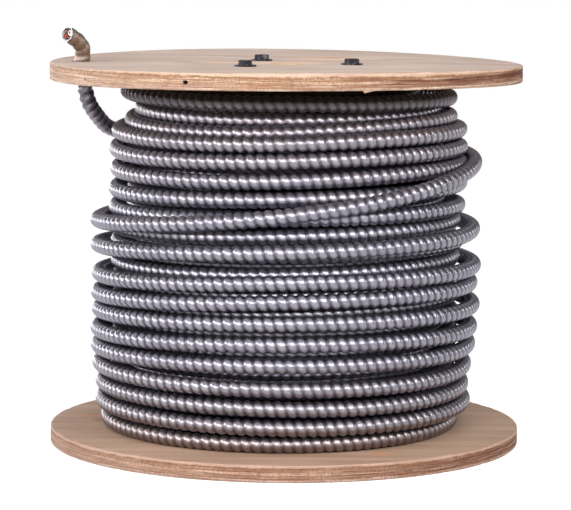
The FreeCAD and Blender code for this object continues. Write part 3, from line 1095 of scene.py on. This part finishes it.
def rim_depths(rng, voids):
    """How far in the sawn edge is, in millimetres, at each step round it and each height."""
    size = (RIM_STEPS, len(RIM_HEIGHTS))
    degrees = np.degrees(TURN * np.arange(RIM_STEPS) / RIM_STEPS)
    heights = RIM_HEIGHTS[None]

    def hollow(angle, height, length, tall, reach=1.0):
        away = np.abs((degrees - angle + 180) % 360 - 180)[:, None] * math.radians(1) * FLANGE_RADIUS
        return np.clip(reach - (away / length) ** 2 - ((heights - height) / tall) ** 2, 0, 1)

    depth = np.zeros(size)
    depth += 0.10 * (1 + smooth_noise(rng, size, (48, 5), 3))
    depth += 0.05 * (1 + smooth_noise(rng, size, (528, 6), 1))
    for line in range(1, PLIES):
        level = FLANGE_THICKNESS * line / PLIES + 0.25 * smooth_noise(rng, (RIM_STEPS, 2), (40, 2), 2)[:, :1]
        strength = np.clip(0.16 + 0.22 * smooth_noise(rng, (RIM_STEPS, 2), (110, 2), 2)[:, :1], 0.02, 0.5)
        depth += strength * np.exp(-(((heights - level) / 0.28) ** 2))
    ease = np.minimum(heights, FLANGE_THICKNESS - heights)
    depth += 0.8 * np.clip(1 - ease / 0.8, 0, 1) ** 1.5
    for *place, deep in voids:
        depth += deep * hollow(*place, reach=VOID_REACH)
    for _ in range(CHIP_COUNT):
        angle = rng.uniform(0, 360)
        length = rng.uniform(1.0, 5.0)
        tall = rng.uniform(0.5, 1.3)
        deep = rng.uniform(0.3, 1.1)
        edge = FLANGE_THICKNESS if rng.random() < CHIPS_ABOVE else 0.0
        depth += deep * hollow(angle, edge, length, tall)
    return depth


def warp(points):
    """How far the top board's rim is bent up from flat, in millimetres."""
    away = np.hypot(points[:, 0], points[:, 1])
    angle = np.arctan2(points[:, 1], points[:, 0])
    share = np.clip((away - WARP_FROM) / WARP_OVER, 0, 1)
    bend = WARP_BEND * np.cos(2 * (angle - math.radians(WARP_DIRECTION))) - WARP_TILT * np.cos(angle) - WARP_DROP
    return share**2 * (3 - 2 * share) * bend


def splinters(name, material):
    """The slivers of veneer that hang from the top board's lower edge."""
    build = Build()
    for angle, length, drop in SLIVERS:
        points = []
        for share in np.arange(SLIVER_STEPS + 1) / SLIVER_STEPS:
            a = angle + math.degrees((share - 0.5) * length / FLANGE_RADIUS)
            low = drop * (min(share * 9, 1.0) - share) - 1.0
            for depth, height in ((0.7, 1.2), (0.7, -low), (1.6, 1.2)):
                points.append(on_circle(FLANGE_RADIUS - depth, a, TOP_BASE + height + 0.2))
        faces = strip_faces(SLIVER_STEPS + 1, 3).tolist()
        faces += [[2, 1, 0], [len(points) - 3, len(points) - 2, len(points) - 1]]
        build.add(points, faces)
    return build.piece(name, [material])


def board(name, base, upside_down, seed, voids, materials):
    """A plywood disc with the drum's groove in its inner face, from millimetres above the floor."""
    depth = rim_depths(np.random.default_rng(seed), voids)
    angles = TURN * np.arange(RIM_STEPS) / RIM_STEPS
    rings, marks = [], []

    def ring(radius, height, mark):
        rings.append(np.stack([radius * np.cos(angles), radius * np.sin(angles), 0 * angles + height], axis=-1))
        marks.append(mark)

    inner, outer_radius = GROOVE_RADII
    top = FLANGE_THICKNESS
    dish = DISH_DEPTH if upside_down else 0.0
    (flat, level), (under_flat, under_level) = DISH_TOP_RADII, DISH_UNDERSIDE_RADII
    for radius in (ARBOR_RADIUS, 40.0, flat):
        ring(radius, dish, 0)
    for share in (0.2, 0.4, 0.6, 0.8):
        ring(flat + share * (level - flat), dish * (0.5 + 0.5 * math.cos(math.pi * share)), 0)
    for radius in (level, *FACE_RADII):
        ring(radius, 0.0, 0)
    for column, height in enumerate(RIM_HEIGHTS):
        ring(FLANGE_RADIUS - depth[:, column], height, 1 if column < len(RIM_HEIGHTS) - 1 else 0)
    for radius in FACE_RADII[::-1]:
        ring(radius, top, 0)
    ring(outer_radius, top, 1)
    ring(outer_radius, top - GROOVE_DEPTH, 1)
    ring(inner, top - GROOVE_DEPTH, 1)
    ring(inner, top, 0)
    ring(under_level, top, 0)
    ring(under_flat, top + dish, 0)
    ring(ARBOR_RADIUS, top + dish, 1)
    points = np.concatenate(rings)
    if upside_down:
        points[:, 2] = top - points[:, 2] + warp(points)
    points[:, 2] += base
    index = np.arange(len(points)).reshape(len(rings), RIM_STEPS)
    following = np.roll(index, -1, axis=0)
    here_next, following_next = np.roll(index, -1, axis=1), np.roll(following, -1, axis=1)
    faces = np.stack([index, here_next, following_next, following], axis=-1).reshape(-1, 4)
    if upside_down:
        faces = faces[:, ::-1]
    return make_piece(name, points, faces.tolist(), materials, np.repeat(marks, RIM_STEPS))


def cutter(centre, radius, low, high, steps):
    """A round bar to cut a hole with: points and faces."""
    a = TURN * np.arange(steps) / steps
    points = [(centre[0] + radius * math.cos(t), centre[1] + radius * math.sin(t), z) for z in (low, high) for t in a]
    faces = [[i, (i + 1) % steps, (i + 1) % steps + steps, i + steps] for i in range(steps)]
    faces += [list(range(steps))[::-1], list(range(steps, 2 * steps))]
    return points, faces


def drill(piece, bars, material):
    """Cuts the bars out of the piece."""
    build = Build()
    for bar in bars:
        build.add(*cutter(*bar))
    tool = build.piece("drill", [material])
    modifier = piece.modifiers.new("holes", "BOOLEAN")
    modifier.operation = "DIFFERENCE"
    modifier.solver = "EXACT"
    modifier.object = tool
    modifier.material_mode = "TRANSFER"
    dg = bpy.context.evaluated_depsgraph_get()
    mesh = bpy.data.meshes.new_from_object(piece.evaluated_get(dg), preserve_all_data_layers=True, depsgraph=dg)
    piece.modifiers.clear()
    old = piece.data
    piece.data = mesh
    bpy.data.meshes.remove(old)
    bpy.data.objects.remove(tool)
    mesh.name = piece.name
    mesh.shade_smooth()
    mesh.set_sharp_from_angle(angle=math.radians(35))


BOLTS = [on_circle(BOLT_CIRCLE_RADIUS, angle, 0)[:2] for angle in BOLT_ANGLES]

# a face's veneer: dark, middle, pale and palest tones, its streaks and its pores
TOP_TONES = (
    (143, 123, 110),
    (181, 159, 147),
    (196, 176, 165),
    (212, 196, 185),
    (193, 151, 113),
    (122, 97, 85),
)
BASE_TONES = (
    (130, 103, 86),
    (156, 127, 107),
    (171, 142, 122),
    (186, 159, 139),
    (168, 123, 86),
    (100, 75, 61),
)
# marks on the boards, as the materials take them; among them are a painted shadow of the tail on the top face and
# painted shade in a void of the top edge
TOP_FACE_MARKS_AND_SHADOW = (
    ((-0.058, 0.014), (0.016, 0.013), 0.7, 0.5, (238, 202, 168)),
    ((-0.014, 0.006), (0.030, 0.015), 0.7, 0.55, (240, 204, 168)),
    ((0.014, 0.016), (0.028, 0.015), 0.7, 0.5, (236, 196, 160)),
    ((0.032, 0.072), (0.026, 0.013), 0.7, 0.5, (226, 184, 146)),
    ((0.042, 0.084), (0.013, 0.005), 0.6, 0.6, (172, 112, 76)),
    # painted shadow of the tail, beside its hole
    ((-0.158, -0.004), (0.010, 0.009), 0.6, 0.55, (96, 80, 74)),
    ((0.094, -0.176), (0.006, 0.0016), 0.4, 0.85, (84, 58, 46)),
    ((0.128, -0.155), (0.002, 0.0016), 0.4, 0.7, (96, 66, 50)),
    ((-0.002, -0.2), (0.011, 0.0014), 0.5, 0.75, (160, 88, 60)),
    ((-0.155, 0.02), (0.034, 0.09), 0.7, 0.4, (150, 128, 116)),
)
TOP_RIM_MARKS_AND_SHADE = (
    # painted shade: near black in the deepest void of the top edge
    ((-0.0826, 0.0063), (0.0022, 0.0017), 0.25, 1.0, (10, 7, 5)),
    ((-0.193, 0.0046), (0.0018, 0.0008), 0.4, 0.9, (60, 40, 30)),
    ((0.245, 0.0082), (0.060, 0.0022), 0.5, 0.9, (76, 33, 17)),
    ((0.195, 0.0066), (0.040, 0.0010), 0.5, 0.7, (86, 46, 27)),
    ((0.150, 0.0074), (0.026, 0.0011), 0.5, 0.8, (80, 42, 25)),
    ((0.105, 0.0082), (0.024, 0.0009), 0.5, 0.8, (84, 45, 26)),
    ((0.090, 0.0055), (0.018, 0.0008), 0.5, 0.7, (84, 50, 34)),
    ((0.06, 0.0045), (0.02, 0.0012), 0.5, 0.5, (120, 76, 50)),
    ((-0.02, 0.0045), (0.016, 0.0011), 0.5, 0.45, (140, 88, 56)),
    ((-0.15, 0.0075), (0.03, 0.0009), 0.5, 0.5, (126, 90, 66)),
)
BASE_FACE_MARKS = (
    ((-0.168, 0.024), (0.009, 0.005), 0.4, 0.75, (190, 112, 62)),
    ((-0.162, 0.004), (0.005, 0.0035), 0.4, 0.75, (88, 60, 48)),
    ((0.078, -0.149), (0.009, 0.008), 0.5, 0.55, (190, 126, 84)),
    ((-0.178, -0.03), (0.02, 0.05), 0.6, 0.35, (132, 104, 90)),
)
BASE_RIM_MARKS = (
    ((-0.235, 0.007), (0.060, 0.009), 0.6, 0.35, (140, 108, 92)),
    ((-0.02, 0.007), (0.0016, 0.0022), 0.4, 0.6, (120, 80, 56)),
    ((0.02, 0.006), (0.0014, 0.003), 0.4, 0.5, (126, 84, 60)),
    ((0.13, 0.0085), (0.03, 0.0012), 0.5, 0.5, (110, 74, 54)),
)
# places left out of the sawn edges: angle, height, half-length, half-height and depth
TOP_VOIDS = (
    (246.7, 7.9, 1.6, 1.2, 5.0),
    (206.0, 4.6, 5.0, 0.5, 0.7),
    (231.0, 9.0, 4.0, 0.4, 0.6),
    (281.0, 9.6, 2.4, 0.5, 0.9),
    (296.0, 8.6, 3.0, 0.5, 0.8),
    (312.0, 6.8, 9.0, 0.6, 0.9),
    (100.0, 6.5, 7.0, 0.6, 1.2),
    (40.0, 3.2, 6.0, 0.5, 0.9),
    (150.0, 9.0, 4.0, 0.5, 0.9),
)
BASE_VOIDS = (
    (262.0, 8.4, 3.0, 0.5, 0.8),
    (224.0, 3.4, 5.0, 0.4, 0.7),
    (300.0, 5.6, 6.0, 0.5, 0.9),
    (80.0, 8.6, 6.0, 0.6, 1.1),
)

top_face = plywood_face_material("plywood_top_face", TOP_TONES, (3.1, 7.7, 0.0), TOP_FACE_MARKS_AND_SHADOW)
top_rim = plywood_rim_material("plywood_top_edge", 2.0, TOP_BASE * MM, TOP_RIM_MARKS_AND_SHADE, (0.92, 0.89, 0.88, 1.0))
base_face = plywood_face_material("plywood_base_face", BASE_TONES, (11.4, 2.9, 0.0), BASE_FACE_MARKS)
base_rim = plywood_rim_material("plywood_base_edge", 9.0, 0.0, BASE_RIM_MARKS, (0.77, 0.70, 0.70, 1.0))

top_board = board("top_board", TOP_BASE, True, TOP_SEED, TOP_VOIDS, [top_face, top_rim])
bars = [(bolt, BOLT_HOLE_RADIUS, TOP_BASE - DISH_DEPTH - 1, HEIGHT + 1, 32) for bolt in BOLTS]
bars.append((TAIL_HOLE_CENTRE, TAIL_HOLE_RADIUS, TOP_BASE - 4, HEIGHT + 4, 72))
drill(top_board, bars, top_rim)
belongs(top_board, "plywood", "top_flange")
belongs(splinters("veneer_splinters", top_rim), "plywood")

base_board = board("base_board", 0.0, False, BASE_SEED, BASE_VOIDS, [base_face, base_rim])
for radius, depth, steps in ((BOLT_HOLE_RADIUS, FLANGE_THICKNESS + 1, 32), (*NUT_RECESS, 48), (*NUT_BARREL, 32)):
    drill(base_board, [(bolt, radius, -1, depth, steps) for bolt in BOLTS], base_rim)
belongs(base_board, "plywood", "bottom_flange")


# ---------------------------------------------------------------- the CAD pieces that stay


def repaint(node, material):
    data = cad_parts[node].data
    if not data.materials:
        data.materials.append(material)
    for number in range(len(data.materials)):
        data.materials[number] = material


black_steel = black_steel_material()
plated_steel = plated_steel_material()
for number in (1, 2, 3):
    repaint(f"through_bolt_{number}", black_steel)
    repaint(f"bolt_washer_{number}", black_steel)
    repaint(f"tee_nut_{number}", plated_steel)
repaint("drum", fibre_material())

bpy.context.scene.view_settings.view_transform = "Standard"

bpy.context.view_layer.update()
